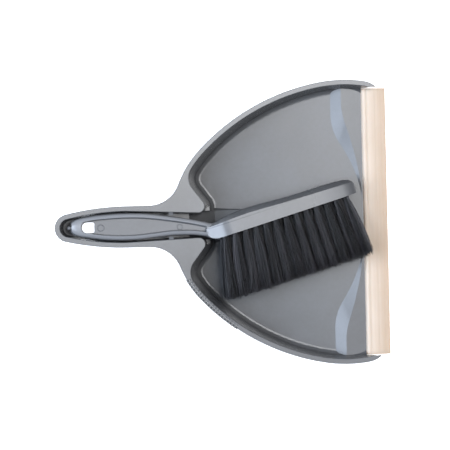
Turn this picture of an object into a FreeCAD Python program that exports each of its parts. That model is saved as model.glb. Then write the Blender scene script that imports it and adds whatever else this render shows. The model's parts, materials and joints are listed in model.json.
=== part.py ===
import FreeCAD, Part
import math
import os
from FreeCAD import Matrix, Placement, Rotation, Vector

# A dust pan with a rubber lip, and a hand brush that lies in the trough of the pan's handle.
# X runs from the tip of the handle to the free edge of the lip, Y across, Z up.
# The origin is the centre of the overall box on the surface that the pan stands on.

# ---- Driving sizes, millimetres and degrees ---------------------------------------------------

# The pan in plan
overall_length = 333.0        # handle tip to the lip's free edge
pan_width = 286.0             # across the rim where it is widest
widest_to_lip = 42.7          # from the widest place forward to the lip's free edge
rim_tip_to_lip = 10.5         # the rim's front tips end this far short of the lip's free edge
front_radius = 0.479 * pan_width     # the rim's arc in front of the widest place
front_turn = 8.4
tip_radius = 24.0             # the arc that rounds the rim's front tips
side_radius = 0.507 * pan_width      # the first arc behind the widest place
side_turn = 10.7
quarter_radius = 0.7727 * pan_width  # the long flat arc of the rear quarter
quarter_turn = 47.0
shoulder_radius = 0.3636 * pan_width # the arc that runs to the neck
neck_radius = 31.3            # the hollow arc from the shoulder to the handle
handle_width = 41.0           # outside width of the handle's flange
handle_taper_radius = 257.0   # the handle narrows along this arc
handle_end_radius = 13.9

# Heights of the pan
rim_slope = 10.5              # the rim plane rises towards the handle by this angle
rim_tip_height = 20.0         # rim plane above the ground at the front tips
wall = 2.0                    # walls of the bowl and trough
flange_width = 5.0
flange_thickness = 2.0
skirt_depth = 7.0             # the flange's outer edge is turned down this far
skirt_wall = 1.8
edge_round = 0.5              # rounding of the rim's outer edge and bevel of its inner edges

# The bowl
corner_radius = 0.0594 * pan_width   # the bowl's rear corners in plan
corner_offset = 0.1643 * pan_width   # the corners' centres from the axis
nose_radius = 6.5             # rounded noses at both sides of the trough's mouth
nose_offset = 18.9
nose_back = 8.3               # the noses' centres behind the rear corners' centres, along X
side_draft = 4.0              # the walls lean in by this much from rim to ground
back_draft = 3.5              # and the back wall by this much more
floor_thickness = 2.4
floor_rise = 3.0              # the floor climbs this much from its front edge to the back wall
floor_fillet = 5.0
foot_width = 4.0              # the ring that the pan stands on, inside the walls
spine_half_width = 22.0       # the solid strip under the channel
pocket_to_front = 60.0        # the pockets under the floor end this far behind its front edge

# The raised apron behind the lip, with its sloping band
apron_ridge = 20.5            # the apron's crest behind the floor's front edge
apron_height = 5.0
band_foot = 32.5              # the band's foot behind the front edge, at the sides
band_arc_radius = 135.5       # the band's foot arc, centred on the axis
band_arc_back = 134.0         # its centre behind the front edge
band_arc_slope = 12.5         # slope of the band along the arc
band_blend_radius = 50.0      # the rounding between the arc and the straight runs, at the foot

# The channel that leads from the trough into the bowl
channel_half_width = 14.5
channel_side = 3.0
channel_length = 46.0

# The trough in the handle
trough_depth = 32.0
trough_draft = 1.5
ramp_behind = 16.0            # the ramp from trough to channel begins this far behind the mouth
ramp_ahead = 9.5              # and ends this far ahead of it
ramp_thickness = 2.5

# The snap tabs in the trough
tab_clearance = 0.6
tab_depth = 13.0
rear_tab_width = 3.5
front_tab_width = 4.3
front_tab_from_hole = 83.0

# The comb on one side of the rim
comb_start = 23.0             # arc length from the shoulder's end forward to the first gap
comb_gaps = 20
comb_pitch = 3.55
comb_gap_width = 1.5
comb_gap_depth = 2.1          # the gaps are cut through this far in from the rim's edge
comb_groove_length = 4.3      # and each runs on inwards as a shallow groove
comb_groove_depth = 1.3
comb_tooth_proud = 0.8

# The hanging holes, one above the other
hole_from_tip = 32.3          # handle tip to the centre of both holes, in plan
pan_hole_length = 18.0
pan_hole_width = 14.0
brush_hole_length = 12.5
brush_hole_width = 10.2
brush_hole_round = 1.6

# The rubber lip
lip_width = 24.6
lip_length = pan_width - 16.0
lip_height = 4.8
lip_edge = 0.9                # thickness of the free edge
lip_bead = 5.6                # width of the thick bead
lip_clearance = 0.05
lip_end_room = 0.4            # between the lip's ends and the walls beside them
lip_bead_drop = 1.0           # the lip's middle is this much lower than its bead
lip_bead_edge = 1.4           # the bead's rear edge is cut back by this much
lip_bead_front = 0.6          # and its front edge by this much
lip_step = 1.2                # length of the step from the bead down to the middle
lip_folds = (0.54, 0.78)      # shares of the lip's width at which its slope changes
lip_fold_drop = 0.9           # the first fold is this much lower than the middle
tongue_thickness = 1.5        # the pan's tongue that the lip's slot grips
tongue_length = 8.0
tongue_margin = 4.0           # the tongue's ends lie this far inside the lip's

# The brush
brush_slope = 9.5             # the brush lies at this angle to the ground
brush_drop = 6.0              # its middle plane lies this far below the rim at the hanging hole
hole_to_crease = 124.1        # hanging hole to the crease between handle and head
handle_rim = 5.4              # width of the rims round the handle's hollow sides, at their feet
rim_lean = 1.6                # the rims' inner sides lean outwards by this much
hollow_height = 9.0           # over this height above the handle's middle plane
web_thickness = 2.6
web_rear_bow = 5.2            # how far the hollows' rear and front ends bow out
web_front_bow = 1.2
stub_length = 3.6             # the moulding stub left at the handle's end
stub_radius = 1.9
head_angle = 16.7             # the head is turned up from the handle by this angle
head_length = 152.5
head_width = 32.0
head_height = 15.6            # height of the head's sides at the handle
head_taper = 1.44             # the sides get lower towards the far end by this angle
head_dome = 4.5               # rise of the domed back above the sides
head_drop = 14.8              # the bristle face below the handle's axis at the crease

# The bristles
tufts_long_row = 13
tuft_first = 11.6             # from the crease to the first tuft
tuft_last_margin = 12.1       # from the last tuft to the head's end
row_pitch = 7.0
tuft_root_radius = 2.5
tuft_tip_radius = 4.3
tuft_clearance = 0.05
tuft_hole_depth = 9.0
bristle_length = 61.0         # free length
fan_rear = -11.0              # lean of the first tuft along the head
fan_front = 4.3               # lean of the last
anchor_thickness = 0.4
anchor_depth = 2.0
anchor_fit = 0.03             # room round the anchor in the tuft's root

# ---- Values worked out from them --------------------------------------------------------------

slope = math.tan(math.radians(rim_slope))
x_lip = overall_length / 2
x_tip = -overall_length / 2
x_widest = x_lip - widest_to_lip
x_rim_tip = x_lip - rim_tip_to_lip
x_front = x_lip - lip_width
half_width = pan_width / 2
half_handle = handle_width / 2
tall = 200.0                  # reach of cutting tools across and above the whole part
beyond = 10.0                 # reach of cutting tools a little way past a face


def rim_height(x):
    """Height of the rim plane above the ground."""
    return rim_tip_height + (x_rim_tip - x) * slope


# ---- Plan curves: chains of tangent arcs, worked out from centres and radii ---------------------

def polar(centre, radius, angle):
    """The point at an angle, in degrees from +X, on a circle in plan."""
    a = math.radians(angle)
    return Vector(centre.x + radius * math.cos(a), centre.y + radius * math.sin(a), 0)


def arc(centre, radius, start, end):
    """An arc in plan from one angle to another."""
    points = [polar(centre, radius, a) for a in (start, (start + end) / 2, end)]
    return Part.Arc(*points).toShape()


def line(a, b):
    return Part.LineSegment(a, b).toShape()


def step(centre, distance, angle):
    """A centre moved along a direction: the next arc's centre in a tangent chain."""
    return polar(centre, distance, angle)


# Angles are measured from +X, so the widest place is at 90 and angles grow towards the handle.
front_centre = Vector(x_widest, half_width - front_radius, 0)
tip_centre = step(front_centre, front_radius - tip_radius, 90 - front_turn)
tip_angle = math.degrees(math.acos((x_rim_tip - tip_centre.x) / tip_radius))
side_centre = Vector(x_widest, half_width - side_radius, 0)
quarter_centre = step(side_centre, side_radius - quarter_radius, 90 + side_turn)
shoulder_centre = step(quarter_centre, quarter_radius - shoulder_radius, 90 + quarter_turn)
neck_y = half_handle + neck_radius
neck_reach = shoulder_radius + neck_radius
neck_x = shoulder_centre.x - math.sqrt(neck_reach ** 2 - (neck_y - shoulder_centre.y) ** 2)
neck_centre = Vector(neck_x, neck_y, 0)
shoulder_end = math.degrees(math.atan2(neck_y - shoulder_centre.y, neck_x - shoulder_centre.x))
taper_cos = (handle_taper_radius - half_handle) / (handle_taper_radius - handle_end_radius)
taper_turn = math.degrees(math.acos(taper_cos))
end_centre = Vector(x_tip + handle_end_radius, 0, 0)
taper_centre = step(end_centre, handle_taper_radius - handle_end_radius, -90 + taper_turn)


def sides(inset, start):
    """The arcs that the rim's edge and the bowl's edge share, from an angle at the front tip."""
    return [
        arc(tip_centre, tip_radius - inset, start, 90 - front_turn),
        arc(front_centre, front_radius - inset, 90 - front_turn, 90),
        arc(side_centre, side_radius - inset, 90, 90 + side_turn),
        arc(quarter_centre, quarter_radius - inset, 90 + side_turn, 90 + quarter_turn),
    ]


def handle_end(inset):
    """The tapering side of the handle and its round end, up to the axis."""
    return [
        arc(taper_centre, handle_taper_radius - inset, 90, 90 + taper_turn),
        arc(end_centre, handle_end_radius - inset, 90 + taper_turn, 180),
    ]


def rim_half(inset):
    """The rim's outer edge on the +Y side, from the front tip to the handle's tip."""
    neck = arc(neck_centre, neck_radius + inset, shoulder_end - 180, -90)
    shoulder = arc(shoulder_centre, shoulder_radius - inset, 90 + quarter_turn, shoulder_end)
    start = Vector(neck_centre.x, half_handle - inset, 0)
    end = Vector(taper_centre.x, half_handle - inset, 0)
    return sides(inset, tip_angle) + [shoulder, neck, line(start, end)] + handle_end(inset)


# The bowl's rear corner lies inside the shoulder arc, and an inner tangent leads from it to the
# rounded nose beside the trough's mouth.
corner_y = corner_offset
corner_reach = shoulder_radius - flange_width - corner_radius
corner_x = shoulder_centre.x - math.sqrt(corner_reach ** 2 - (corner_y - shoulder_centre.y) ** 2)
corner_centre = Vector(corner_x, corner_y, 0)
nose_centre = Vector(corner_x - nose_back, nose_offset, 0)
corner_to_nose = nose_centre - corner_centre
corner_start = math.degrees(math.atan2(corner_y - shoulder_centre.y, corner_x - shoulder_centre.x))
line_turn = math.degrees(math.acos((corner_radius + nose_radius) / corner_to_nose.Length))
corner_end = math.degrees(math.atan2(corner_to_nose.y, corner_to_nose.x)) + 360 - line_turn
x_mouth = nose_centre.x + nose_radius


def bowl_half(inset):
    """The bowl's edge on the +Y side, from the front tip to the nose at the trough's mouth."""
    inner = inset - flange_width
    nose = nose_radius + inner
    shoulder = arc(shoulder_centre, shoulder_radius - inset, 90 + quarter_turn, corner_start)
    corner = arc(corner_centre, corner_radius - inner, corner_start, corner_end)
    leave = polar(corner_centre, corner_radius - inner, corner_end)
    reach = polar(nose_centre, nose, corner_end - 180)
    around = arc(nose_centre, nose, corner_end - 180, 0)
    return sides(inset, 0) + [shoulder, corner, line(leave, reach), around]


def trough_half(inner):
    """The trough's edge on the +Y side, from the nose to the handle's tip."""
    nose = nose_radius + inner
    inset = flange_width + inner
    far = Vector(taper_centre.x, half_handle - inset, 0)
    run = nose_centre - far
    touch = math.degrees(math.atan2(run.y, run.x) - math.asin(nose / run.Length)) - 90
    return [arc(nose_centre, nose, 0, touch), line(polar(nose_centre, nose, touch), far)] + handle_end(inset)


def mirrored(edges):
    return [edge.mirror(Vector(0, 0, 0), Vector(0, 1, 0)) for edge in edges]


def loose_ends(edges):
    """The two points at which a chain of edges begins and ends."""
    points = [vertex.Point for edge in edges for vertex in edge.Vertexes]
    return [p for p in points if sum((p - q).Length < 1e-5 for q in points) == 1]


def closed(half, start, end=None):
    """A closed wire from a half and its mirror image, closed by straight lines through two points."""
    edges = list(half)
    first = front_point(half)
    if (first - start).Length > 1e-5:
        edges.append(line(start, first))
    wire_edges = edges + mirrored(edges)
    wire_edges.append(line(start, Vector(start.x, -start.y, 0)))
    if end:
        wire_edges.append(line(end, Vector(end.x, -end.y, 0)))
    return Part.Wire(Part.__sortEdges__(wire_edges))


def front_point(half, x=None):
    """Where a half outline begins, or the point straight in front of it at x."""
    first = max(loose_ends(half), key=lambda point: point.x)
    return Vector(first.x if x is None else x, first.y, 0)


def end_point(half):
    """Where a half outline ends, at the back."""
    return min(loose_ends(half), key=lambda point: point.x)


def on_rim(shape, lift):
    """A flat plan shape moved up onto a plane parallel to the rim's."""
    shear = Matrix()
    shear.A31 = -slope
    shear.A34 = rim_tip_height + x_rim_tip * slope + lift
    return shape.transformGeometry(shear)


def prism(wire, low=-1.0, high=tall):
    """An upright prism over a plan wire."""
    face = Part.Face(wire)
    face.translate(Vector(0, 0, low))
    return face.extrude(Vector(0, 0, high - low))


def side_prism(points, half):
    """A prism across the pan over an outline of (x, z) points."""
    corners = [Vector(x, -half, z) for x, z in points]
    return Part.Face(Part.makePolygon(corners + corners[:1])).extrude(Vector(0, 2 * half, 0))


def rim_slab(low, high):
    """Everything between two planes parallel to the rim's."""
    ends = (x_tip - 20, x_lip + 20)
    points = [(ends[0], rim_height(ends[0]) + low), (ends[1], rim_height(ends[1]) + low),
              (ends[1], rim_height(ends[1]) + high), (ends[0], rim_height(ends[0]) + high)]
    return side_prism(points, tall)


def edges_where(shape, test):
    """The shape's edges whose middle and ends all pass a test on a point."""
    found = []
    for edge in shape.Edges:
        first, last = edge.ParameterRange
        points = [edge.valueAt(first + (last - first) * part) for part in (0.05, 0.5, 0.95)]
        if all(test(point) for point in points):
            found.append(edge)
    return found


# ---- The pan ------------------------------------------------------------------------------------

above = 1.0                                 # how far cutting tools reach above the rim
flare = -edge_round - above                 # and how far they have opened there, at 45 degrees


def bowl_section(inner, shift):
    half = bowl_half(flange_width + inner)
    wire = closed(half, front_point(half), end_point(half))
    wire.translate(Vector(shift, 0, 0))
    return wire


def bowl_outside():
    """The bowl's outer form: walls that lean in from the rim to the ground."""
    top = on_rim(bowl_section(-wall, 0), -flange_thickness / 2)
    bottom = bowl_section(side_draft - wall, back_draft)
    return Part.makeLoft([top, bottom], True, True)


def bowl_space():
    """The space inside the walls, open at the front, down to the ground, with a bevelled mouth."""
    top = on_rim(bowl_section(flare, 0), above)
    bevel_foot = on_rim(bowl_section(0, 0), -edge_round)
    bottom = bowl_section(side_draft, back_draft)
    return Part.makeLoft([top, bevel_foot, bottom], True, True)


x_back = corner_centre.x - corner_radius    # the rear of the bowl
floor_slope = floor_rise / (x_front - x_back)


def floor_height(x):
    return floor_thickness + (x_front - x) * floor_slope


def floor_form():
    """Everything below the main floor's surface, which climbs gently to the back."""
    ends = (x_back - 20, x_lip + 40)
    return side_prism([(ends[0], -5), (ends[1], -5), (ends[1], floor_height(ends[1])),
                       (ends[0], floor_height(ends[0]))], tall)


def band_outline(height):
    """The band's curve at a height above the floor: an arc on the axis, blended into straight runs."""
    centre = Vector(x_front - band_arc_back, 0, 0)
    spread = height / math.tan(math.radians(band_arc_slope))
    radius = band_arc_radius + spread
    blend = band_blend_radius - spread
    x_run = x_front - band_foot + (band_foot - apron_ridge) * height / apron_height
    y_blend = math.sqrt((radius + blend) ** 2 - (x_run + blend - centre.x) ** 2)
    angle = math.degrees(math.asin(y_blend / (radius + blend)))
    x_far = x_front - lip_width - 3 * band_foot
    points = [Vector(x_run, -y_blend, 0), Vector(x_run, -tall, 0), Vector(x_far, -tall, 0),
              Vector(x_far, tall, 0), Vector(x_run, tall, 0), Vector(x_run, y_blend, 0)]
    edges = [line(a, b) for a, b in zip(points, points[1:])]
    edges.append(arc(Vector(x_run + blend, y_blend, 0), blend, 180, 180 + angle))
    edges.append(arc(centre, radius, angle, -angle))
    edges.append(arc(Vector(x_run + blend, -y_blend, 0), blend, 180 - angle, 180))
    wire = Part.Wire(edges)
    wire.translate(Vector(0, 0, floor_thickness + height))
    return wire


def apron_form():
    """The raised apron: a ramp up from the front edge, cut back by the sloping band."""
    x_crest = x_front - apron_ridge
    x_rear = x_crest - band_foot
    crest = floor_thickness + apron_height
    ramp = side_prism([(x_front, 0), (x_front, floor_thickness), (x_crest, crest),
                       (x_rear, crest), (x_rear, 0)], tall - 1)
    band = Part.makeLoft([band_outline(0), band_outline(apron_height * 1.2)], True, True)
    return ramp.cut(band)


def channel_space():
    """The shallow channel with leaning sides, deepest at the back wall and fading out forwards."""
    x_deep = x_mouth + back_draft
    deep = floor_thickness
    fade = floor_height(x_deep + channel_length)
    rise = (fade - deep) / channel_length
    lean = channel_side / (floor_height(x_deep) - deep)
    height = channel_side
    sections = []
    for x in (x_deep - beyond, x_deep + channel_length + beyond):
        base = deep + (x - x_deep) * rise
        wide = channel_half_width + height * lean
        points = [Vector(x, -channel_half_width, base), Vector(x, channel_half_width, base),
                  Vector(x, wide, base + height), Vector(x, -wide, base + height)]
        sections.append(Part.makePolygon(points + points[:1]))
    return Part.makeLoft(sections, True, True)


def mouth_ramp():
    """The ramp that leads from the trough's floor down into the channel, and the space above it."""
    start = x_mouth - ramp_behind
    end = x_mouth + ramp_ahead
    top = rim_height(start) - trough_depth
    fall = (top - floor_thickness) / (end - start)
    under = top - (ramp_behind - wall) * fall - ramp_thickness
    ramp = side_prism([(start, top), (end, floor_thickness), (end, 1), (x_mouth - wall, 1),
                       (x_mouth - wall, under), (start, top - ramp_thickness)], channel_half_width + wall)
    space = side_prism([(start, top), (end, floor_thickness), (end, top)], channel_half_width)
    return ramp, space


def bowl_tool():
    """The bowl's free space above the finished floor."""
    raw = bowl_space()
    clear = raw.cut(floor_form())
    low_edges = edges_where(clear, lambda p: abs(p.z - floor_height(p.x)) < 0.01 and p.x < x_lip)
    clear = clear.makeFillet(floor_fillet, low_edges)
    channel = channel_space().common(raw)
    return clear.fuse(channel).cut(apron_form())


def trough_section(inner, lift):
    half = trough_half(inner)
    start = front_point(half, x_mouth + beyond)
    return on_rim(closed(half, start), lift)


def trough_outside():
    low = trough_section(trough_draft - wall, -trough_depth - wall)
    return Part.makeLoft([trough_section(-wall, -flange_thickness / 2), low], True, True)


def trough_tool():
    """The trough's space, with the same bevelled mouth as the bowl's."""
    bottom = trough_section(trough_draft, -trough_depth)
    return Part.makeLoft([trough_section(flare, above), trough_section(0, -edge_round), bottom], True, True)


def comb_place(distance):
    """Centre, radius and angle at an arc length behind the start of the shoulder's arc."""
    centre, radius = quarter_centre, quarter_radius
    if distance > 0:
        centre, radius = shoulder_centre, shoulder_radius
    return centre, radius, 90 + quarter_turn + math.degrees(distance / radius)


def comb_teeth():
    """A strip that stands a little out of the flange where the comb is, on the -Y side."""
    rear = comb_start + comb_pitch / 2
    front = rear - comb_gaps * comb_pitch
    strips = []
    for far in (rear, front):
        centre, radius, far_angle = comb_place(far)
        angles = (90 + quarter_turn, far_angle)
        inside = radius - skirt_wall
        outside = radius + comb_tooth_proud
        ends = [line(polar(centre, inside, angle), polar(centre, outside, angle)) for angle in angles]
        edges = ends + [arc(centre, inside, *angles), arc(centre, outside, *angles)]
        strips.append(prism(Part.Wire(Part.__sortEdges__(edges))))
    strip = strips[0].fuse(strips[1]).common(rim_slab(-skirt_depth, 0))
    return strip.mirror(Vector(0, 0, 0), Vector(0, 1, 0))


def comb_gap(number):
    """One radial gap of the comb, cut through the rim's edge, and the groove behind it."""
    centre, radius, angle = comb_place(comb_start - number * comb_pitch)
    middle = polar(centre, radius, angle)
    gap = Part.makeBox(comb_gap_depth + beyond, comb_gap_width, skirt_depth,
                       Vector(-comb_gap_depth, -comb_gap_width / 2, -skirt_depth / 2 - 1))
    groove = Part.makeBox(comb_groove_length + beyond, comb_gap_width, skirt_depth / 2,
                          Vector(-comb_groove_length, -comb_gap_width / 2, -comb_groove_depth))
    gap = gap.fuse(groove)
    gap.rotate(Vector(0, 0, 0), Vector(0, 0, 1), angle)
    gap.translate(Vector(middle.x, middle.y, rim_height(middle.x)))
    return gap.mirror(Vector(0, 0, 0), Vector(0, 1, 0))


x_hole = x_tip + hole_from_tip


def brush_edges(along):
    """The handle's upper and lower edge in plan at a distance from the brush's hole."""
    stations = handle_stations()
    for (a, middle_a, half_a, _), (b, middle_b, half_b, _) in zip(stations, stations[1:]):
        if a <= along <= b:
            part = (along - a) / (b - a)
            middle = middle_a + part * (middle_b - middle_a)
            half = half_a + part * (half_b - half_a)
            return middle + half, middle - half
    raise ValueError("No handle at this place")


def snap_tabs():
    """Four tabs on the trough's walls that reach to the brush's handle and hold it in the middle."""
    tabs = []
    for along, width in ((0.0, rear_tab_width), (front_tab_from_hole, front_tab_width)):
        x = x_hole + along * math.cos(math.radians(brush_slope))
        for which, side in enumerate((1, -1)):
            edges = [brush_edges(along + shift)[which] for shift in (-width / 2, width / 2)]
            near = max(edge * side for edge in edges) + tab_clearance
            far = half_handle - flange_width + wall / 2
            if x < taper_centre.x:
                far -= handle_taper_radius - math.sqrt(handle_taper_radius ** 2 - (x - taper_centre.x) ** 2)
            low = rim_height(x) - tab_depth
            tabs.append(Part.makeBox(width, far - near, tab_depth - flange_thickness / 2,
                                     Vector(x - width / 2, near if side > 0 else -far, low)))
    return tabs


def under_pockets():
    """Two pockets under the rising floor, so that the floor keeps its thickness."""
    foot = prism(bowl_section(side_draft + foot_width, back_draft))
    ends = (x_back - 20, x_front - pocket_to_front)
    below = side_prism([(ends[0], -5), (ends[1], -5), (ends[1], floor_height(ends[1]) - floor_thickness),
                        (ends[0], floor_height(ends[0]) - floor_thickness)], tall)
    spine = Part.makeBox(2 * tall, 2 * spine_half_width, tall, Vector(-tall, -spine_half_width, -5))
    return foot.common(below).cut(spine)


def pan_hole():
    """The long round-ended hanging hole in the trough's floor."""
    straight = (pan_hole_length - pan_hole_width) / 2
    corner = Vector(x_hole - straight, -pan_hole_width / 2, 0)
    shape = Part.makeBox(2 * straight, pan_hole_width, tall, corner)
    for x in (x_hole - straight, x_hole + straight):
        shape = shape.fuse(Part.makeCylinder(pan_hole_width / 2, tall, Vector(x, 0, 0)))
    return shape.removeSplitter()


def on_outer_edge(point):
    """True for a point on the rim's top outer edge."""
    in_plan = Part.Vertex(Vector(point.x, abs(point.y), 0))
    off_edge = min(in_plan.distToShape(edge)[0] for edge in rim_half(0))
    return abs(point.z - rim_height(point.x)) < 0.003 and off_edge < 0.003


def pan():
    rim_wire = closed(rim_half(0), front_point(rim_half(0)))
    inner_half = rim_half(skirt_wall)
    inside_skirt = prism(closed(inner_half, front_point(inner_half, x_lip + beyond)))
    plate = prism(rim_wire).common(rim_slab(-flange_thickness, 0))
    skirt = prism(rim_wire).cut(inside_skirt).common(rim_slab(-skirt_depth, 0))
    body = plate.fuse([skirt, bowl_outside(), trough_outside()])
    body = body.cut(bowl_tool()).cut(trough_tool()).cut(under_pockets())
    ahead = Part.makeBox(lip_width, pan_width, tall, Vector(x_rim_tip, -half_width, -1))
    ramp, ramp_space = mouth_ramp()
    body = body.cut(ahead).fuse(ramp).cut(ramp_space).removeSplitter()
    body = body.makeFillet(edge_round, edges_where(body, on_outer_edge))
    room_half = lip_length / 2 + lip_end_room
    lip_room = Part.makeBox(lip_width + beyond, 2 * room_half, tall, Vector(x_front, -room_half, -1))
    tongue_half = lip_length / 2 - tongue_margin
    tongue = Part.makeBox(tongue_length + 1, 2 * tongue_half, tongue_thickness,
                          Vector(x_front - 1, -tongue_half, floor_thickness - tongue_thickness))
    body = body.cut(lip_room).fuse([tongue, comb_teeth()] + snap_tabs())
    for number in range(comb_gaps):
        body = body.cut(comb_gap(number))
    return body.cut(pan_hole()).removeSplitter()


# ---- The rubber lip -----------------------------------------------------------------------------

def lip():
    """The lip's section, a thick bead that thins to a free edge, carried across the pan."""
    back = x_front + lip_clearance
    bead = back + lip_bead
    middle = lip_height - lip_bead_drop
    first_fold, second_fold = [back + lip_width * share for share in lip_folds]
    corners = [(back, 0), (x_lip, 0), (x_lip, lip_edge), (second_fold, lip_edge + lip_fold_drop),
               (first_fold, middle - lip_fold_drop), (bead + lip_step, middle),
               (bead - lip_bead_front, lip_height), (back + lip_bead_edge, lip_height),
               (back, lip_height - lip_bead_edge)]
    section = side_prism(corners, lip_length / 2)
    slot_low = floor_thickness - tongue_thickness - lip_clearance
    slot = side_prism([(x_front, slot_low), (x_front + tongue_length + lip_clearance, slot_low),
                       (x_front + tongue_length + lip_clearance, floor_thickness + lip_clearance),
                       (x_front, floor_thickness + lip_clearance)], tall)
    return section.cut(slot)


# ---- The brush ----------------------------------------------------------------------------------
# The brush is drawn in its own frame: its hanging hole at the origin, X along the handle to the
# head, Y as the pan's, and Z square to its middle plane. lay_down() puts it in the trough.

def lay_down(shape):
    turn = Rotation(Vector(0, 1, 0), brush_slope)
    place = Placement(Vector(x_hole, 0, rim_height(x_hole) - brush_drop), turn)
    shape.Placement = place.multiply(shape.Placement)
    return shape


def handle_stations():
    """Stations along the handle: place, middle of the outline, half height and half thickness.

    Beyond the hole the places are shares of the way from the hole to the crease.
    """
    reach = hole_to_crease
    return [
        (-16.9, 0.5, 5.0, 5.5),
        (-12.9, 0.3, 7.8, 6.6),
        (-2.9, 0.4, 10.2, 7.6),
        (reach * 0.057, 0.3, 11.7, 8.2),
        (reach * 0.178, 0.1, 13.05, 8.6),
        (reach * 0.322, 0.1, 13.5, 8.8),
        (reach * 0.459, 0.2, 12.65, 8.8),
        (reach * 0.62, 0.1, 10.3, 8.6),
        (reach * 0.781, -1.1, 8.4, 8.2),
        (reach * 0.943, -4.1, 7.25, 8.0),
        (reach * 1.008, -6.0, 7.4, 8.4),
        (reach * 1.055, -7.3, 7.6, 8.8),
    ]


section_power = 2.5                         # 2 is an ellipse, more is squarer
section_points = 20


def handle_section(along, middle, half_height, half_thick):
    """One rounded section of the handle, a superellipse."""
    points = []
    for number in range(section_points):
        turn = 2 * math.pi * number / section_points
        c, s = math.cos(turn), math.sin(turn)
        y = math.copysign(abs(c) ** (2 / section_power), c) * half_height
        z = math.copysign(abs(s) ** (2 / section_power), s) * half_thick
        points.append(Vector(along, middle + y, z))
    curve = Part.BSplineCurve()
    curve.interpolate(points, PeriodicFlag=True)
    return Part.Wire(curve.toShape())


def smooth_line(points):
    curve = Part.BSplineCurve()
    curve.interpolate([Vector(x, y, 0) for x, y in points])
    return curve.toShape()


def web_outline(rim, height):
    """Outline of the hollow in the handle's side, a rim's width inside the handle's own."""
    stations = handle_stations()[2:10]
    upper = [(x, middle + half - rim) for x, middle, half, thick in stations]
    lower = [(x, middle - half + rim) for x, middle, half, thick in stations]
    first = (Vector(*upper[0], 0) + Vector(*lower[0], 0)) * 0.5
    last = (Vector(*upper[-1], 0) + Vector(*lower[-1], 0)) * 0.5
    rear = Vector(first.x - web_rear_bow, first.y, 0)
    front = Vector(last.x + web_front_bow, last.y, 0)
    rear_end = Part.Arc(Vector(*upper[0], 0), rear, Vector(*lower[0], 0)).toShape()
    front_end = Part.Arc(Vector(*upper[-1], 0), front, Vector(*lower[-1], 0)).toShape()
    outline = Part.Wire(Part.__sortEdges__([smooth_line(upper), front_end, smooth_line(lower), rear_end]))
    outline.translate(Vector(0, 0, height))
    return outline


def brush_hole():
    """The hanging hole: round at the handle's end, square with small rounds towards the head."""
    half = brush_hole_width / 2
    x_round = -brush_hole_length / 2 + half
    x_flat = brush_hole_length / 2
    box = Part.makeBox(x_flat - x_round, 2 * half, tall, Vector(x_round, -half, -tall / 2))
    corners = edges_where(box, lambda p: abs(p.x - x_flat) < 0.01 and abs(abs(p.y) - half) < 0.01)
    box = box.makeFillet(brush_hole_round, corners)
    return box.fuse(Part.makeCylinder(half, tall, Vector(x_round, 0, -tall / 2)))


def handle():
    body = Part.makeLoft([handle_section(*station) for station in handle_stations()], True, False)
    for side in (1, -1):
        foot = web_outline(handle_rim, side * web_thickness / 2)
        mouth = web_outline(handle_rim - rim_lean, side * hollow_height)
        body = body.cut(Part.makeLoft([foot, mouth], True, True))
    rear = handle_stations()[0][0]
    stub = Part.makeCylinder(stub_radius, 2 * stub_length, Vector(rear - stub_length, 0, 0), Vector(1, 0, 0))
    stub = stub.makeFillet(stub_radius / 2, edges_where(stub, lambda p: p.x < rear - stub_length + 0.01))
    return body.fuse(stub).cut(brush_hole())


head_turn = math.radians(head_angle)
head_along = Vector(math.cos(head_turn), math.sin(head_turn), 0)
head_up = Vector(-math.sin(head_turn), math.cos(head_turn), 0)
across = Vector(0, 0, 1)
head_origin = Vector(hole_to_crease, -head_drop, 0)


def on_head(along, up, side):
    """A point in the head: along it from the crease, up from the bristle face, and sideways."""
    return head_origin + head_along * along + head_up * up + across * side


def head_section(along, half, low, high, dome):
    """A section of the head: flat bristle face, upright sides and a domed back."""
    a, b = on_head(along, low, -half), on_head(along, low, half)
    c, d = on_head(along, high, half), on_head(along, high, -half)
    top = Part.Arc(c, on_head(along, high + dome, 0), d).toShape()
    return Part.Wire([line(a, b), line(b, c), top, line(d, a)])


def head():
    """The head's block, lofted through sections from the rounded heel to the blunt far end."""
    half = head_width / 2
    end = head_length

    def side(along):
        return head_height - along * math.tan(math.radians(head_taper))

    sections = [
        (-4.0, half * 0.5, 6.0, 12.0, 0.6),
        (-1.0, half * 0.56, 2.2, 13.0, 1.0),
        (5.0, half * 0.72, 0.2, 13.4, 2.0),
        (14.0, half * 0.92, 0.0, 14.0, 3.2),
        (30.0, half, 0.0, side(30.0), head_dome),
        (end * 0.5, half, 0.0, side(end * 0.5), head_dome),
        (end - 20.0, half, 0.0, side(end - 20.0), head_dome),
        (end - 9.0, half * 0.95, 0.0, side(end - 9.0), head_dome * 0.9),
        (end - 3.0, half * 0.84, 0.1, side(end) - 0.3, head_dome * 0.7),
        (end - 0.8, half * 0.76, 0.6, side(end) - 1.2, head_dome * 0.5),
        (end, half * 0.7, 1.4, side(end) - 2.3, head_dome * 0.3),
    ]
    return Part.makeLoft([head_section(*section) for section in sections], True, False)


def tuft_places():
    """Every tuft's place along and across the head and its lean, row by row.

    The rows are staggered: a short row's tufts stand between those of the long rows beside it.
    """
    places = []
    pitch = (head_length - tuft_first - tuft_last_margin) / (tufts_long_row - 1)
    for row in range(4):
        short = (row + 1) % 2
        for number in range(tufts_long_row - short):
            share = (number + 0.5 * short) / (tufts_long_row - 1)
            along = tuft_first + share * pitch * (tufts_long_row - 1)
            lean = fan_rear + share * (fan_front - fan_rear)
            places.append((along, (row - 1.5) * row_pitch, math.radians(lean)))
    return places


def tuft_frame(shape, along, side, lean):
    """Puts a shape drawn with +Z out of its hole onto the bristle face, leaning along the head."""
    out = head_up * -math.cos(lean) + head_along * math.sin(lean)
    shape.Placement = Placement(on_head(along, 0, side), Rotation(Vector(0, 0, 1), out))
    return shape


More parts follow.
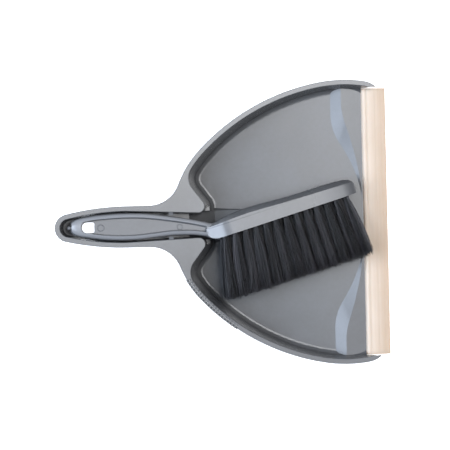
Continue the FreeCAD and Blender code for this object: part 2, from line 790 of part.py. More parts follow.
def tuft_hole(along, side, lean):
    radius = tuft_root_radius + tuft_clearance
    hole = Part.makeCylinder(radius, tuft_hole_depth + beyond, Vector(0, 0, -tuft_hole_depth))
    return tuft_frame(hole, along, side, lean)


def anchor_box(gap):
    """The flat anchor across the tuft's root, or the slot that it makes in the tuft."""
    length = 2 * tuft_root_radius + 2 * gap
    width = anchor_thickness + 2 * gap
    low = -tuft_hole_depth + tuft_clearance
    return Part.makeBox(length, width, anchor_depth + gap, Vector(-length / 2, -width / 2, low))


def tuft(along, side, lean):
    """One tuft: a straight root in its hole, then a bundle that spreads to its tip."""
    root = Part.makeCylinder(tuft_root_radius, tuft_hole_depth - tuft_clearance,
                             Vector(0, 0, -tuft_hole_depth + tuft_clearance))
    spread = Part.makeCone(tuft_root_radius, tuft_tip_radius, bristle_length)
    shape = root.fuse(spread).removeSplitter().cut(anchor_box(anchor_fit))
    return tuft_frame(shape, along, side, lean)


def brush_body():
    body = handle().fuse(head())
    for place in tuft_places():
        body = body.cut(tuft_hole(*place))
    return body.removeSplitter()


# ---- Write the parts ----------------------------------------------------------------------------

def write(shape, name):
    if not shape.isValid():
        raise ValueError("The solid is not valid: " + name)
    shape.exportStep("parts/" + name + ".step")


os.makedirs("parts", exist_ok=True)
write(pan(), "pan")
write(lip(), "lip")
write(lay_down(brush_body()), "brush_body")
places = tuft_places()
for number, place in enumerate(places, 1):
    write(lay_down(tuft(*place)), "tuft_%02d" % number)
write(Part.makeCompound([lay_down(tuft_frame(anchor_box(0), *place)) for place in places]), "anchors")
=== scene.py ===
# %% [markdown]
# # A dust pan with its hand brush
#
# The set is three moulded things: a pan of semi-gloss grey plastic, a soft cream lip along its
# front edge, and a grey brush that lies on its side in the pan with its handle in the pan's own.
# The solid model already holds every plastic part at its true size, so this lesson starts from
# it: it gives the moulded parts smooth surfaces and a plastic finish, and it replaces the plain
# solids of the lip and the tufts by a shaped strip and by thousands of separate bristles.

# %% Load the solid model
import json
import math

import bpy
import numpy as np
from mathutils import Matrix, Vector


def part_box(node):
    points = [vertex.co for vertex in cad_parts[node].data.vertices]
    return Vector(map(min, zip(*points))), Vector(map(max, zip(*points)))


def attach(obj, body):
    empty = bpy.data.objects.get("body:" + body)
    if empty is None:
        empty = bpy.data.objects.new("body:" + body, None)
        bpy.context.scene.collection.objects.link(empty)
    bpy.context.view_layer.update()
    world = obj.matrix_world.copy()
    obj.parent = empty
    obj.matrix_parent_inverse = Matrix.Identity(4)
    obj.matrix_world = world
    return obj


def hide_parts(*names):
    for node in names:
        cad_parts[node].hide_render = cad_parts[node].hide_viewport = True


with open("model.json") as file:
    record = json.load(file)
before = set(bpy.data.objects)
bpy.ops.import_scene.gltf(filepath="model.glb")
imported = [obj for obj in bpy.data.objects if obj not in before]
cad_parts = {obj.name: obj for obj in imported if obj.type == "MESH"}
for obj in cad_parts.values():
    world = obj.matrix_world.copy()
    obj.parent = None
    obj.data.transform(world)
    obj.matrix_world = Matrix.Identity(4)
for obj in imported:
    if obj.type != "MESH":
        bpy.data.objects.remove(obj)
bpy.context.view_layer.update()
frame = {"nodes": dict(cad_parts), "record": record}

MM = 0.001
GOLDEN_ANGLE = 2.39996
rng = np.random.default_rng(7)

# %% [markdown]
# ## Writing materials as sums
#
# A material here is a small program: noise in, colour and roughness out. Wiring it node by node
# hides the program, so one class stands for a socket and lets ordinary arithmetic add the Math
# nodes, and another holds one material and adds every other node through a single method.


# %% A socket that can be added and multiplied
class Value:
    """A number that varies over the surface. An expression on it adds Math nodes."""

    def __init__(self, finish, socket):
        self.finish = finish
        self.socket = socket

    def maths(self, operation, first, second=0.0):
        return self.finish.node("ShaderNodeMath", {"operation": operation}, {0: first, 1: second})

    def __add__(self, other):
        return self.maths("ADD", self, other)

    def __sub__(self, other):
        return self.maths("SUBTRACT", self, other)

    def __rsub__(self, other):
        return self.maths("SUBTRACT", other, self)

    def __mul__(self, other):
        return self.maths("MULTIPLY", self, other)

    def __pow__(self, other):
        return self.maths("POWER", self, other)

    def __abs__(self):
        return self.maths("ABSOLUTE", self)

    __radd__ = __add__
    __rmul__ = __mul__

    def above(self, low, high):
        """0 below the low value, 1 above the high one, and a smooth rise between them."""
        settings = {"interpolation_type": "SMOOTHSTEP", "clamp": True}
        return self.finish.node("ShaderNodeMapRange", settings, {0: self, 1: low, 2: high})


print("a Value can be used in +, -, *, ** and abs()")


# %% A material and its nodes
class Finish:
    """One material: a Principled shader whose constants are given when it is made."""

    def __init__(self, name, **constants):
        self.material = bpy.data.materials.new(name)
        self.material.use_nodes = True
        self.tree = self.material.node_tree
        self.tree.nodes.clear()
        names = {key.replace("_", " "): value for key, value in constants.items()}
        self.shader = self.node("ShaderNodeBsdfPrincipled", {}, names).socket.node
        self.node("ShaderNodeOutputMaterial", {}, {"Surface": Value(self, self.shader.outputs[0])})
        self.place = self.node("ShaderNodeTexCoord", {}, {}, "Object")

    def node(self, kind, settings, inputs, output=0):
        """Adds a node: its settings first, then the value or the link of each socket."""
        made = self.tree.nodes.new(kind)
        for key, value in settings.items():
            setattr(made, key, value)
        for key, value in inputs.items():
            if isinstance(value, Value):
                self.tree.links.new(value.socket, made.inputs[key])
            else:
                made.inputs[key].default_value = value
        return Value(self, made.outputs[output]) if made.outputs else None

    def stretched(self, scale, turn=(0.0, 0.0, 0.0)):
        """The place on the object, stretched and turned, for grain that runs one way."""
        inputs = {"Vector": self.place, "Scale": scale, "Rotation": turn}
        return self.node("ShaderNodeMapping", {}, inputs)

    def along(self, direction, origin):
        """How far the place lies from an origin along a direction: their dot product."""
        inputs = {0: self.place, 1: tuple(direction)}
        reach = self.node("ShaderNodeVectorMath", {"operation": "DOT_PRODUCT"}, inputs, "Value")
        return reach - float(np.dot(direction, origin))

    def noise(self, size, detail=2.0, place=None):
        """Soft random patches about as wide as size, in metres, or of a stretched place's units."""
        inputs = {"Vector": place or self.place, "Scale": 1.0 / size, "Detail": detail}
        return self.node("ShaderNodeTexNoise", {}, inputs)

    def mix(self, share, first, second):
        """A colour that goes from the first to the second as share goes from 0 to 1."""
        inputs = {0: share, 6: first, 7: second}
        return self.node("ShaderNodeMix", {"data_type": "RGBA"}, inputs, 2)

    def bump(self, height, depth):
        """A surface that rises by depth, in metres, where height is 1."""
        inputs = {"Height": height, "Distance": depth, "Strength": 1.0}
        return self.node("ShaderNodeBump", {}, inputs)

    def set(self, **links):
        """Feeds the shader's own sockets."""
        for key, value in links.items():
            self.tree.links.new(value.socket, self.shader.inputs[key.replace("_", " ")])
        return self.material


def colour(red, green, blue):
    """A colour from the 0 to 255 numbers of a paint chart, as the linear light Blender works in."""
    chart = np.array([red, green, blue]) / 255
    light = np.where(chart > 0.04045, ((chart + 0.055) / 1.055) ** 2.4, chart / 12.92)
    return (*light.tolist(), 1.0)


print("a middle grey of 128 is", round(colour(128, 128, 128)[0], 3), "of white's light")


# %% [markdown]
# ## Where the brush lies
#
# The brush is easiest to describe in its own frame: its hanging hole at the origin and its
# handle along X. One function turns such points, as whole arrays, to where the brush lies, and
# another adds the bend between the handle and the head. Materials measure along the same axes.
# The slope, the bend and the distances are those of the solid model.

# %% The brush's frame
hang_mount = [m for m in frame["record"]["mounts"] if m["name"] == "hang_hole"][0]
hole = np.array(hang_mount["pos_m"])
brush_slope = math.radians(9.5)
brush_above_hole = 23.2 * MM
head_turn = math.radians(16.7)
crease_reach, head_drop = 124.1 * MM, 14.8 * MM
east_of_brush = np.array([math.cos(brush_slope), 0, -math.sin(brush_slope)])
up_of_brush = np.array([math.sin(brush_slope), 0, math.cos(brush_slope)])
north = np.array([0.0, 1.0, 0.0])
brush_origin = hole + [0, 0, brush_above_hole]
head_along = math.cos(head_turn) * east_of_brush + math.sin(head_turn) * north
head_up = -math.sin(head_turn) * east_of_brush + math.cos(head_turn) * north
head_origin = brush_origin + crease_reach * east_of_brush - head_drop * north


def on_brush(x, y, z):
    """Points of the brush's own frame: the origin plus x, y and z along its three directions."""
    level = x[..., None] * east_of_brush + y[..., None] * north
    return brush_origin + level + z[..., None] * up_of_brush


def on_head(along, up, side):
    """Points of the head: along it from the crease, up from the bristle face, and sideways."""
    on_side_face = along[..., None] * head_along + up[..., None] * head_up
    return head_origin + on_side_face + side[..., None] * up_of_brush


print("brush hangs from", [round(v / MM, 1) for v in brush_origin], "mm")

# %% [markdown]
# ## Grey polypropylene
#
# The pan and the brush are injection moulded in silver-grey polypropylene. It is a soft plastic,
# so it takes a satin gloss, cloudy flow patches a few centimetres wide, a very fine grain and,
# above all on the pan, hair scratches from sweeping. A single grey would look like paint. The
# finish mixes two greys by a broad noise and lets smaller noises move the roughness and grain.
# The brush has its own shades by place: a painted highlight on its rims and on the heel of its head,
# a painted shade at the head's far end, a duller web between the rims, and the fine parting line that
# the two halves of the mould leave along the head.


# %% The plastic's finish
class Plastic(Finish):
    """Grey plastic between two greys, with a base roughness and a share of scratches."""

    def __init__(self, name, dark, light, rough, scratched):
        super().__init__(name, IOR=1.5)
        clouds = self.noise(60 * MM, 3.0)
        mottle = self.noise(4 * MM)
        grain = self.noise(0.6 * MM, 1.0)
        hairs = self.noise(20 * MM, 3.0, self.stretched((1.0, 26.0, 26.0), (0.0, 0.0, 0.35)))
        scratch = hairs.above(0.6, 0.8) * scratched
        self.grey = self.mix((clouds * 0.8 + mottle * 0.2).above(0.3, 0.7), dark, light)
        self.rough = clouds * 0.08 + mottle * 0.02 + scratch * 0.06 + (rough - 0.05)
        self.height = grain * 0.5 + mottle * 0.4 - scratch * 0.2


def pan_finish():
    """The pan's plastic, a shade duller where its walls have been rubbed."""
    finish = Plastic("pan_plastic", colour(80, 80, 81), colour(87, 88, 90), 0.22, 0.4)
    rubbed = finish.noise(15 * MM, 3.0).above(0.4, 0.8)
    finish.set(
        Base_Color=finish.grey,
        Roughness=finish.rough + rubbed * 0.03,
        Normal=finish.bump(finish.height, 0.006 * MM),
    )
    return finish.material


pan_grey = pan_finish()
print("pan plastic:", len(pan_grey.node_tree.nodes), "nodes")


# %% The brush's finish, shaded by its own frame
parting_line_up = 12.0 * MM


def brush_finish():
    """The brush's plastic. Each share below is 1 where its name says, and fades over a stretch."""
    finish = Plastic("brush_plastic", colour(86, 86, 87), colour(94, 95, 97), 0.26, 0.3)
    reach = finish.along(east_of_brush, brush_origin)
    height = finish.along(up_of_brush, brush_origin)
    head_reach = finish.along(head_along, head_origin)
    off_line = abs(finish.along(head_up, head_origin) - parting_line_up)
    handle = 1 - reach.above(112 * MM, 124 * MM)
    head = 1 - handle
    rim = height.above(1.6 * MM, 5.0 * MM) * handle
    web = (1 - height.above(1.4 * MM, 2.4 * MM)) * handle
    near_half = 1 - head_reach.above(30 * MM, 95 * MM)
    line = (1 - off_line.above(0.1 * MM, 0.55 * MM)) * near_half * head
    heel = (1 - head_reach.above(6 * MM, 34 * MM)) * head
    far_end = head_reach.above(95 * MM, 150 * MM)
    # Painted highlight: the rims and the heel are made lighter, for the light that their rounded faces
    # mirror.
    with_painted_highlight = finish.mix(rim * 0.65 + heel * 0.4, finish.grey, colour(152, 153, 156))
    # Painted shade: the head's far end, which curves away from the light, is made darker.
    with_painted_shade = finish.mix(far_end * 0.6, with_painted_highlight, colour(66, 65, 66))
    finish.set(
        Base_Color=finish.mix(line * 0.6, with_painted_shade, colour(60, 60, 64)),
        Roughness=finish.rough + web * 0.12 - heel * 0.06 + far_end * 0.12,
        Normal=finish.bump(finish.height - line * 6, 0.008 * MM),
    )
    return finish.material


brush_grey = brush_finish()
print("brush plastic:", len(brush_grey.node_tree.nodes), "nodes")

# %% [markdown]
# ## The moulded parts
#
# The solid model's mesh is loose triangles, which shade as flat facets. The parts keep their
# shape: a copy has the triangles' shared corners joined, and its shading is smooth wherever two
# faces meet at a shallow angle, while true edges stay crisp. On the brush, which is all soft
# curves, a modifier also weighs each corner's direction by the size of the faces round it.


# %% Join a solid's triangles
def joined(node, name, angle, flat_within):
    """A copy of a solid whose triangles share corners, smooth where faces meet below the angle.

    Faces that lie within flat_within degrees of level stay flat, because the pan's floor, band
    and ramp are large faces that meet at angles too shallow to be told from a curve.
    """
    source = frame["nodes"][node].data
    same_place = 0.001 * MM
    places = np.zeros(len(source.vertices) * 3)
    source.vertices.foreach_get("co", places)
    corners = np.zeros(len(source.loops), dtype=np.int64)
    source.loops.foreach_get("vertex_index", corners)
    places = places.reshape(-1, 3)
    _, first, whose = np.unique(np.round(places / same_place), axis=0, return_index=True,
                                return_inverse=True)
    faces = whose.reshape(-1)[corners].reshape(-1, 3)
    distinct = (faces != np.roll(faces, 1, axis=1)).all(axis=1)
    mesh = bpy.data.meshes.new(name)
    mesh.from_pydata(places[first].tolist(), [], faces[distinct].tolist())
    mesh.set_sharp_from_angle(angle=math.radians(angle))
    facing = np.zeros(len(mesh.polygons) * 3, dtype=np.float32)
    mesh.polygons.foreach_get("normal", facing)
    steep = np.abs(facing[2::3]) < math.cos(math.radians(flat_within))
    mesh.polygons.foreach_set("use_smooth", steep)
    piece = bpy.data.objects.new(name, mesh)
    bpy.context.collection.objects.link(piece)
    print(name, len(mesh.polygons), "faces")
    return piece


# %% Smooth the pan and the brush
def finished(piece, material, body, nodes):
    """Gives a piece its material and its body, and hides the solids that it stands for."""
    piece.data.materials.append(material)
    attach(piece, body)
    if nodes:
        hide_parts(*nodes)
    return piece


pan_shell = joined("pan", "pan_shell", 32, 24)
finished(pan_shell, pan_grey, "pan", ["pan"])
brush_moulding = joined("brush_body", "brush_moulding", 38, 0)
finished(brush_moulding, brush_grey, "brush", ["brush_body"])
weigh = brush_moulding.modifiers.new("weigh_normals", "WEIGHTED_NORMAL")
weigh.keep_sharp = True

# %% [markdown]
# ## Turning a grid of points into a mesh
#
# Every new piece is a surface: a rectangle of points worked out by a formula. One function joins
# such a grid into faces, closing it round or capping its ends where the piece needs it.


# %% Grid to mesh
def surface(name, points, round_first=False, round_second=False, caps=False):
    """A mesh from a grid of points: face i,j joins the points i,j, i+1,j, i+1,j+1 and i,j+1.

    points is an array of rows by columns by 3, in metres. round_first joins the last row to the
    first, round_second the last column to the first, and caps closes the first and last row.
    """
    rows, columns = points.shape[:2]
    number = np.arange(rows * columns).reshape(rows, columns)
    below = np.roll(number, -1, axis=0) if round_first else number[1:]
    here = number if round_first else number[:-1]
    if round_second:
        quads = np.stack([here, below, np.roll(below, -1, axis=1), np.roll(here, -1, axis=1)], axis=-1)
    else:
        quads = np.stack([here[:, :-1], below[:, :-1], below[:, 1:], here[:, 1:]], axis=-1)
    faces = quads.reshape(-1, 4).tolist()
    if caps:
        faces += [number[0].tolist(), number[-1][::-1].tolist()]
    mesh = bpy.data.meshes.new(name)
    mesh.from_pydata(points.reshape(-1, 3).tolist(), [], faces)
    mesh.shade_smooth()
    piece = bpy.data.objects.new(name, mesh)
    bpy.context.collection.objects.link(piece)
    print(name, len(faces), "faces")
    return piece


# %% [markdown]
# ## Marks of the mould
#
# Where a pin pushes the brush out of its mould, it leaves a low ring on the handle's web. A ring
# is a torus: a small circle carried round a large one. It is made of its own grid, half sunk in
# the web, because cutting it into the moulding would need far more triangles there.


# %% Ejector rings
web_top = 1.3 * MM


def ring(name, x, y, ring_radius, bead_radius):
    """A torus on the web: the large circle times (radius + bead cos v), raised by bead sin v."""
    u, v = np.meshgrid(np.linspace(0, 2 * np.pi, 48, endpoint=False),
                       np.linspace(0, 2 * np.pi, 10, endpoint=False), indexing="ij")
    out = ring_radius + bead_radius * np.cos(v)
    points = on_brush(x + out * np.cos(u), y + out * np.sin(u), web_top + bead_radius * np.sin(v))
    return finished(surface(name, points, True, True), brush_grey, "brush", [])


ring("ejector_ring_rear", 12.3 * MM, -0.6 * MM, 3.2 * MM, 0.42 * MM)
ring("ejector_ring_front", 91.3 * MM, -1.3 * MM, 2.6 * MM, 0.38 * MM)

# %% [markdown]
# ## The rubber lip
#
# The lip is extruded soft rubber: a thick rounded bead that holds the pan's edge, a flatter
# middle, and a flap that thins to the edge that meets the ground, with a slot at its rear for the
# pan's tongue. Its section is drawn once and carried across the pan, which is how the real strip
# is made. Extruded rubber is never quite straight, so the bead swells by a tenth of a millimetre
# here and there, and it sinks a little towards its two cut ends.


# %% The lip's section
lip_low, lip_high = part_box("lip")
lip_width = lip_high.x - lip_low.x
tongue_depth, tongue_low, tongue_high = 8.0 * MM, 0.85 * MM, 2.45 * MM
top_outline = np.array([[0.0, 0.5], [0.25, 2.6], [0.9, 3.9], [1.9, 4.55], [3.0, 4.78], [4.1, 4.6],
                        [5.2, 4.05], [6.4, 3.72], [8.5, 3.6], [11.0, 3.35], [13.2, 2.95], [13.9, 2.72],
                        [16.5, 2.4], [19.1, 1.95], [19.8, 1.7], [22.0, 1.3], [23.8, 0.95],
                        [24.45, 0.6]]) * MM


def smoothed(outline, count):
    """Points evenly spaced along a smooth curve through an outline.

    Between two points b and c the curve is a cubic in t whose direction at b is half the way from
    a, the point before, to c, and at c half the way from b to d, the point after.
    """
    padded = np.vstack([2 * outline[0] - outline[1], outline, 2 * outline[-1] - outline[-2]])
    t = np.linspace(0, 1, 12, endpoint=False)[:, None, None]
    a, b, c, d = padded[:-3], padded[1:-2], padded[2:-1], padded[3:]
    squared = (2 * a - 5 * b + 4 * c - d) * t ** 2
    cubed = (3 * b - 3 * c + d - a) * t ** 3
    curve = 0.5 * (2 * b + (c - a) * t + squared + cubed)
    curve = np.vstack([curve.transpose(1, 0, 2).reshape(-1, outline.shape[1]), outline[-1]])
    length = np.concatenate([[0], np.cumsum(np.linalg.norm(np.diff(curve, axis=0), axis=1))])
    want = np.linspace(0, length[-1], count)
    return np.stack([np.interp(want, length, curve[:, k]) for k in range(outline.shape[1])], axis=1)


above_slot = smoothed(top_outline, 60)[4:]
underside = np.array([[24.5, 0.25], [24.2, 0.02], [12.0, 0.02], [0.3, 0.02], [0.0, 0.3]]) * MM
slot = np.array([[0.0, tongue_low], [tongue_depth, tongue_low], [tongue_depth, tongue_high]])
section = np.vstack([[[0.0, tongue_high]], above_slot, underside, slot])
print("lip section:", len(section), "points,", round(lip_width / MM, 1), "mm wide")

# %% Carry the section across the pan
steady_below, swell_height = 2.5 * MM, 0.06 * MM
end_length, end_sinks = 1.2 * MM, 0.35
across = np.linspace(lip_low.y, lip_high.y, 150)
along_lip, height = np.meshgrid(across, section[:, 1], indexing="ij")
distance = np.broadcast_to(section[:, 0], along_lip.shape)
swell = (np.sin(along_lip * 47 + distance * 210) + np.sin(along_lip * 113 + 1.3)) * swell_height
lifted = height + swell * np.clip((height - steady_below) / MM, 0, 1)
end = np.clip((np.abs(along_lip) - (lip_high.y - end_length)) / end_length, 0, 1)
sunk = lifted - (lifted - steady_below) * end ** 2 * end_sinks
lifted = np.where(height > steady_below, sunk, lifted)
points = np.stack([lip_low.x + distance, along_lip, lifted], axis=-1)
lip = surface("lip_strip", points, round_second=True, caps=True)
lip.data.set_sharp_from_angle(angle=math.radians(50))


# %% [markdown]
# ## Cream rubber
#
# The lip's rubber is matt and a little translucent, so light spreads in it. Its colour drifts
# from ivory at the bead to a warmer peach at the thin flap, with faint cloudy stains and fine
# extrusion lines that run along it.


# %% The rubber's finish
def rubber():
    """Cream rubber, warmer with the share of the way from the bead to the free edge."""
    finish = Finish("lip_rubber", IOR=1.5, Subsurface_Weight=0.15, Subsurface_Scale=3 * MM,
                    Subsurface_Radius=(1.0, 0.6, 0.4))
    east = finish.node("ShaderNodeSeparateXYZ", {}, {0: finish.place})
    share = (east - lip_low.x) * (1 / lip_width)
    clouds = finish.noise(30 * MM, 3.0)
    lines = finish.noise(2 * MM, 3.0, finish.stretched((1.0, 0.02, 1.0)))
    specks = finish.noise(1.2 * MM)
    tint = share * 0.8 + clouds * 0.3 + lines * 0.35 - 0.2
    cream = finish.mix(tint.above(0.0, 0.9), colour(206, 190, 174), colour(186, 164, 142))
    finish.set(
        Base_Color=finish.mix(specks.above(0.66, 0.8) * 0.3, cream, colour(190, 172, 150)),
        Roughness=clouds * 0.12 + lines * 0.1 + 0.45,
        Normal=finish.bump(lines * 0.7 + specks * 0.3, 0.04 * MM),
    )
    return finish.material


cream_rubber = rubber()
finished(lip, cream_rubber, "pan", ["lip"])
print("lip rubber:", len(cream_rubber.node_tree.nodes), "nodes")

# %% [markdown]
# ## Bristles
#
# A tuft is a bundle of stiff nylon threads folded in a hole and trimmed to one length. What the
# eye reads is its rhythm: tight dark roots, threads that fan out and mix with the next tuft's,
# and a trimmed but slightly ragged edge. Fur or hair particles can't be exported as a mesh, so
# each thread is a thin three-sided tube, bent a little, and a whole row of tufts is one piece.

# %% Places of the tufts
long_row, row_pitch, first_tuft, last_tuft = 13, 7.0 * MM, 11.6 * MM, 140.4 * MM
lean_first, lean_last = math.radians(-11.0), math.radians(4.3)


def row_of_tufts(row):
    """Places along the head, sideways place and leans of one row's tufts.

    Both go evenly from the first tuft to the last, and the short rows stand half a step in.
    """
    short = (row + 1) % 2
    share = (np.arange(long_row - short) + 0.5 * short) / (long_row - 1)
    along = first_tuft + share * (last_tuft - first_tuft)
    return along, (row - 1.5) * row_pitch, lean_first + share * (lean_last - lean_first)


print("tufts in each row:", [len(row_of_tufts(row)[0]) for row in range(4)])

# %% The threads of a row of tufts
root_radius, tip_radius, thread_length = 2.35 * MM, 5.0 * MM, 61.0 * MM
clumps, clump_threads = 22, 13
threads = clumps * clump_threads


def for_threads(by_clump):
    """One number for each clump, repeated for each thread in it."""
    return np.repeat(by_clump, clump_threads, axis=1)


def drawn_threads(tufts):
    """The root, tip, bow, length and shade of every thread of a row.

    Clump k of a tuft stands at the square root of its share k/n of the radius, turned by k times
    the golden angle, which fills a disc evenly. Threads stick together in clumps, so the tips of
    one clump lie close to each other and share a shade. One in 25 strays, and one in 7 is short.
    """
    clump = np.arange(threads) // clump_threads
    spin = clump * GOLDEN_ANGLE + rng.uniform(0, 2 * np.pi, (tufts, 1))
    reach = np.sqrt((clump + 0.6) / clumps) * np.ones((tufts, 1))
    disc = reach[..., None] * np.stack([np.cos(spin), np.sin(spin)], axis=-1)
    near = rng.normal(0, 1, disc.shape)
    stray = rng.choice([1.0, 2.6], (tufts, threads, 1), p=[0.96, 0.04])
    root = root_radius * disc * 0.85 + near * 0.35 * MM
    tip = tip_radius * disc + near * 0.9 * MM * stray
    tip += for_threads(rng.normal(0, 0.6 * MM, (tufts, clumps, 2)))
    bow = for_threads(rng.normal(0, 0.7 * MM, (tufts, clumps, 2))) + near * 0.25 * MM
    tone = for_threads(rng.uniform(0, 1, (tufts, clumps))) * 0.7
    tone += rng.uniform(0, 0.3, tone.shape)
    length = thread_length + rng.normal(0, 1.7 * MM, (tufts, threads))
    length += for_threads(rng.normal(0, 0.8 * MM, (tufts, clumps)))
    length += rng.choice([0, 1.2 * MM, -3.0 * MM], (tufts, threads), p=[0.8, 0.06, 0.14])
    return root, tip, bow, length, tone


# %% Threads as thin tubes
way = np.array([0.0, 0.01, 0.25, 0.5, 0.75, 0.992, 1.0])
girth = 0.17 * MM * np.array([1, 1, 1, 1, 1, 0.9, 0.35])
tube_sides = 3
root_sunk = 0.4 * MM


def tube_points(row, root, tip, bow, length):
    """Points of a row's tubes: rings round a line from root to tip that bows half way along.

    At the share w of the way the line has drifted by root + (tip - root) w + bow 4 w (1 - w), and
    stands out by the length times w. Both are then tilted by the tuft's lean. Arrays run over
    tufts, threads, stations along the thread and the corners of the tube.
    """
    along, side, lean = row_of_tufts(row)
    straight = root[:, :, None] + (tip - root)[:, :, None] * way[:, None]
    drift = straight + bow[:, :, None] * (4 * way * (1 - way))[:, None]
    turn = np.arange(tube_sides) * 2 * np.pi / tube_sides
    corners = girth[:, None, None] * np.stack([np.cos(turn), np.sin(turn)], axis=-1)
    flat = drift[:, :, :, None] + corners
    out = np.broadcast_to((length[..., None] * way)[..., None], flat.shape[:-1]) - root_sunk
    along, lean = along[:, None, None, None], lean[:, None, None, None]
    forward = along + flat[..., 0] * np.cos(lean) + out * np.sin(lean)
    up = flat[..., 0] * np.sin(lean) - out * np.cos(lean)
    return on_head(forward, up, side + flat[..., 1])


def tube_faces(count):
    """Faces of a number of such tubes: a four-sided face along each side, and two end caps."""
    ring_corners = np.arange(len(way) - 1)[:, None] * tube_sides + np.arange(tube_sides)
    beside = np.roll(ring_corners, -1, axis=1)
    quads = np.stack([ring_corners, beside, beside + tube_sides, ring_corners + tube_sides], axis=-1)
    end_ring = (len(way) - 1) * tube_sides + np.arange(tube_sides)
    ends = np.stack([end_ring, np.arange(tube_sides)[::-1]])
    start = np.arange(count)[:, None, None] * (len(way) * tube_sides)
    sides = (quads.reshape(-1, 4) + start).reshape(-1, 4).tolist()
    return sides + (ends + start).reshape(-1, tube_sides).tolist()


# %% One row as a piece
def row_of_threads(name, row):
    """All the threads of a row in one mesh, with each thread's shade as an attribute."""
    tufts = len(row_of_tufts(row)[0])
    *shape, tone = drawn_threads(tufts)
    points = tube_points(row, *shape).reshape(-1, 3)
    mesh = bpy.data.meshes.new(name)
    mesh.from_pydata(points.tolist(), [], tube_faces(tufts * threads))
    mesh.shade_smooth()
    shades = mesh.attributes.new("tone", "FLOAT", "POINT")
    by_point = np.repeat(tone.reshape(-1), len(way) * tube_sides)
    shades.data.foreach_set("value", by_point.astype(np.float32))
    piece = bpy.data.objects.new(name, mesh)
    bpy.context.collection.objects.link(piece)
    print(name, tufts * threads, "threads")
    return piece


# %% [markdown]
# ## Black nylon
#
# The threads are dyed black and a little glossy. Each catches a thin line of light along its
# length. The colour varies by the shade that each thread was given, with a little dust, and the
# lighter threads are also the glossier ones.


# %% The nylon's finish
def nylon():
    """Black nylon. The power keeps most threads near black and lets a few stand out."""
    finish = Finish("black_nylon", IOR=1.45)
    tone = finish.node("ShaderNodeAttribute", {"attribute_name": "tone"}, {}, "Fac")
    dust = finish.noise(2 * MM)
    share = (tone * 0.9 + dust * 0.2) ** 2.4
    finish.set(
        Base_Color=finish.mix(share, colour(3, 3, 4), colour(60, 57, 62)),
        Roughness=0.52 - tone * 0.2,
    )
    return finish.material


black_nylon = nylon()
first = 1
for row in range(4):
    after = first + len(row_of_tufts(row)[0])
    nodes = ["tuft_%02d" % number for number in range(first, after)]
    piece = row_of_threads("bristles_row_%d" % (row + 1), row)
    finished(piece, black_nylon, "brush", nodes)
    first = after


# %% [markdown]
# ## Steel anchors
#
# A flat steel staple holds each tuft in its hole. It hardly shows, but the model has it, so it
# gets its own metal: drawn wire with fine lines and a trace of dulling.


# %% The steel's finish
def steel():
    """Drawn wire: lines across it by a stretched noise, and duller patches."""
    finish = Finish("anchor_steel", Metallic=1.0)
    drawn = finish.noise(0.8 * MM, 2.0, finish.stretched((1.0, 8.0, 1.0)))
    dull = finish.noise(3 * MM)
    finish.set(
        Base_Color=finish.mix(dull.above(0.4, 0.7), colour(180, 180, 178), colour(150, 148, 144)),
        Roughness=drawn * 0.2 + 0.25,
        Normal=finish.bump(drawn, 0.02 * MM),
    )
    return finish.material


anchors = frame["nodes"]["anchors"]
anchors.data.materials.clear()
anchors.data.materials.append(steel())
print("anchors:", len(anchors.data.polygons), "faces")

# %% [markdown]
# ## Floor, light and camera
#
# The set lies on a plain white table seen from straight above. Every light is a panel in the
# ceiling, because a level glossy face mirrors the ceiling straight above it and a tilted one
# mirrors it further off: the panels' places decide which faces gleam. A tilt of a few degrees
# already moves what a face mirrors by tens of centimetres, so the broad panel lights the level
# floor, the ones beyond it the rims and ramps, and the bluish window panel above all the band.
# The table glows by itself, which keeps it white without a hard shadow.


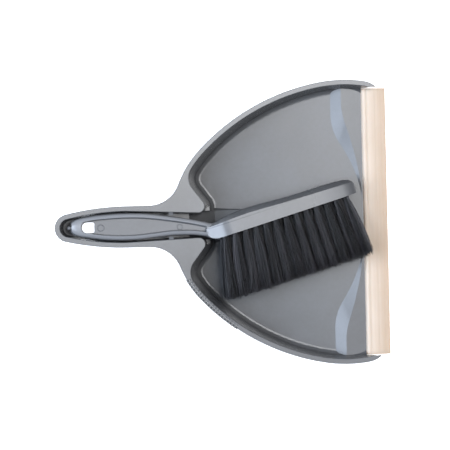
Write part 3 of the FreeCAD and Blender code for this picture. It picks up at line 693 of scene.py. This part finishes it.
# %% The white table
def white_table():
    """A level square, half a millimetre below the set so that the two never coincide."""
    reach, level = 3.0, -0.5 * MM
    x, y = np.meshgrid([-reach, reach], [-reach, reach], indexing="ij")
    table = surface("table_top", np.stack([x, y, np.full_like(x, level)], axis=-1))
    finish = Finish("table_white", Roughness=0.9, Emission_Strength=0.82,
                    Emission_Color=(1.0, 1.0, 1.0, 1.0))
    paper = finish.mix(finish.noise(4 * MM), colour(240, 240, 240), colour(246, 246, 246))
    table.data.materials.append(finish.set(Base_Color=paper))


white_table()


# %% Ceiling panels
ceiling = 2.5


def ceiling_panel(name, low, high, power, tint):
    """A rectangular soft light in the ceiling, from a low to a high corner, facing down."""
    lamp = bpy.data.lights.new(name, "AREA")
    lamp.shape = "RECTANGLE"
    lamp.size, lamp.size_y = high[0] - low[0], high[1] - low[1]
    lamp.energy = power
    lamp.color = tint
    holder = bpy.data.objects.new(name, lamp)
    holder.location = ((low[0] + high[0]) / 2, (low[1] + high[1]) / 2, ceiling)
    bpy.context.collection.objects.link(holder)
    print(name, "%.2f by %.2f m," % (lamp.size, lamp.size_y), power, "W")


ceiling_panel("broad_panel", (0.1, 0.0), (1.8, 0.9), 36.0, (0.98, 0.985, 1.0))
ceiling_panel("bright_panel", (0.75, 0.25), (1.4, 0.8), 20.0, (1.0, 1.0, 1.0))
ceiling_panel("middle_panel", (0.25, -0.4), (0.7, 0.5), 7.0, (0.93, 0.96, 1.0))
ceiling_panel("front_panel", (0.8, -0.6), (1.9, -0.05), 6.5, (0.97, 0.97, 1.0))
ceiling_panel("window_panel", (-3.2, -0.9), (-0.55, 0.9), 150.0, (0.72, 0.83, 1.0))

# %% A faint light from all round
world = bpy.data.worlds.new("studio")
bpy.context.scene.world = world
world.use_nodes = True
background = world.node_tree.nodes["Background"]
background.inputs["Color"].default_value = (0.9, 0.94, 1.0, 1.0)
background.inputs["Strength"].default_value = 0.05
bpy.context.scene.view_settings.view_transform = "Standard"
print("light from all round:", round(background.inputs["Strength"].default_value, 2))

# %% The camera
lens = bpy.data.cameras.new("camera")
lens.lens = 192.0
lens.sensor_width = 36.0
lens.clip_start, lens.clip_end = 0.05, 20.0
camera = bpy.data.objects.new("camera", lens)
camera.location = (0.0011, -0.0004, 2.44)
camera.rotation_euler = (0.0, 0.0, math.radians(-1.339))
bpy.context.collection.objects.link(camera)
bpy.context.scene.camera = camera
seen = lens.sensor_width / lens.lens * camera.location.z
print("the camera sees", round(seen / MM), "mm across the table")
